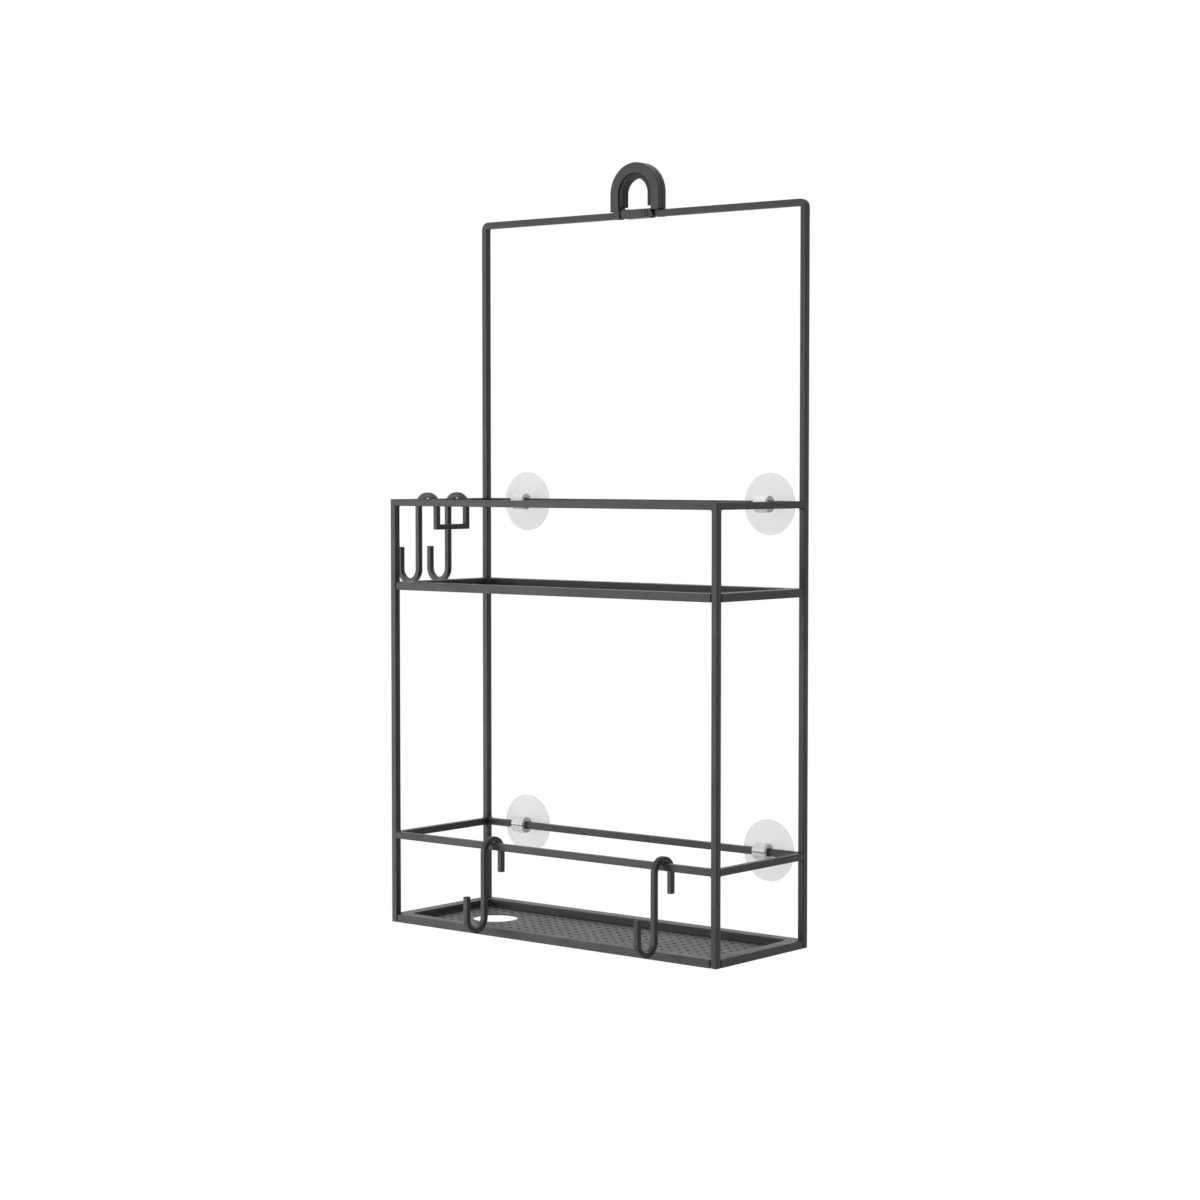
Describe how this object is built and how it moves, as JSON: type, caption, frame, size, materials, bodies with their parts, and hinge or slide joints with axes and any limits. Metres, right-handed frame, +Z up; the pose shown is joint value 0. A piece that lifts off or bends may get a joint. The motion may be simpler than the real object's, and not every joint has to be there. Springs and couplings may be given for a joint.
{
  "type": "shower caddy",
  "caption": "Square-rod shower caddy with two perforated trays, hung from a shower arm by a gated plastic grip, with sliding hooks and suction cups behind.",
  "frame": {"origin": "on the axis of the shower arm that carries the caddy, in the plane of the hoop", "axes": "+Z up, +Y towards the wall, +X to the right seen from in front"},
  "size_m": [0.3706, 0.1567, 0.63],
  "materials": {
    "powder_coat": "satin black powder coat",
    "black_plastic": "fine matt",
    "rubber": "matt",
    "steel": "plain",
    "clear_plastic": "clear gloss",
    "clear_vinyl": "clear soft vinyl, slightly milky"
  },
  "bodies": {
    "frame": {"hoop_left": "powder_coat", "hoop_right": "powder_coat", "front_post_left": "powder_coat", "front_post_right": "powder_coat", "top_rail_front": "powder_coat", "top_rail_back": "powder_coat", "top_rail_left": "powder_coat", "top_rail_right": "powder_coat", "guard_rail_front": "powder_coat", "guard_rail_back": "powder_coat", "guard_rail_left": "powder_coat", "guard_rail_right": "powder_coat", "upper_tray": "powder_coat", "lower_tray": "powder_coat", "grip_front_shell": "black_plastic", "grip_back_shell": "black_plastic", "grip_liner": "rubber", "grip_screw_left": "steel", "grip_screw_right": "steel", "rod_screw_left": "steel", "rod_screw_right": "steel"},
    "gate": {"gate": "black_plastic", "gate_pin": "steel"},
    "latch": {"latch_button": "black_plastic"},
    "hook_left": {"hook_left": "powder_coat"},
    "hook_right": {"hook_right": "powder_coat"},
    "razor_hook": {"razor_hook": "powder_coat"},
    "suction_upper_left": {"clip_upper_left": "clear_plastic", "cup_upper_left": "clear_vinyl"},
    "suction_upper_right": {"clip_upper_right": "clear_plastic", "cup_upper_right": "clear_vinyl"},
    "suction_lower_left": {"clip_lower_left": "clear_plastic", "cup_lower_left": "clear_vinyl"},
    "suction_lower_right": {"clip_lower_right": "clear_plastic", "cup_lower_right": "clear_vinyl"}
  },
  "joints": [
    {"name": "gate_hinge", "type": "hinge", "parent": "frame", "child": "gate", "pos_m": [-0.0101, 0, -0.0153], "axis": [0, 1, 0], "range_deg": [0, 90]},
    {"name": "latch_press", "type": "slide", "parent": "gate", "child": "latch", "axis": [0, 1, 0], "range_m": [0, 0.0012], "stiffness_N_per_m": 300},
    {"name": "hook_left_slide", "type": "slide", "parent": "frame", "child": "hook_left", "axis": [1, 0, 0], "range_m": [-0.095, 0.08]},
    {"name": "hook_right_slide", "type": "slide", "parent": "frame", "child": "hook_right", "axis": [1, 0, 0], "range_m": [-0.07, 0.04]},
    {"name": "razor_hook_slide", "type": "slide", "parent": "frame", "child": "razor_hook", "axis": [0, 1, 0], "range_m": [-0.03, 0.028]},
    {"name": "suction_upper_left_slide", "type": "slide", "parent": "frame", "child": "suction_upper_left", "axis": [1, 0, 0], "range_m": [-0.029, 0.1]},
    {"name": "suction_upper_right_slide", "type": "slide", "parent": "frame", "child": "suction_upper_right", "axis": [1, 0, 0], "range_m": [-0.1, 0.029]},
    {"name": "suction_lower_left_slide", "type": "slide", "parent": "frame", "child": "suction_lower_left", "axis": [1, 0, 0], "range_m": [-0.029, 0.1]},
    {"name": "suction_lower_right_slide", "type": "slide", "parent": "frame", "child": "suction_lower_right", "axis": [1, 0, 0], "range_m": [-0.1, 0.029]}
  ]
}
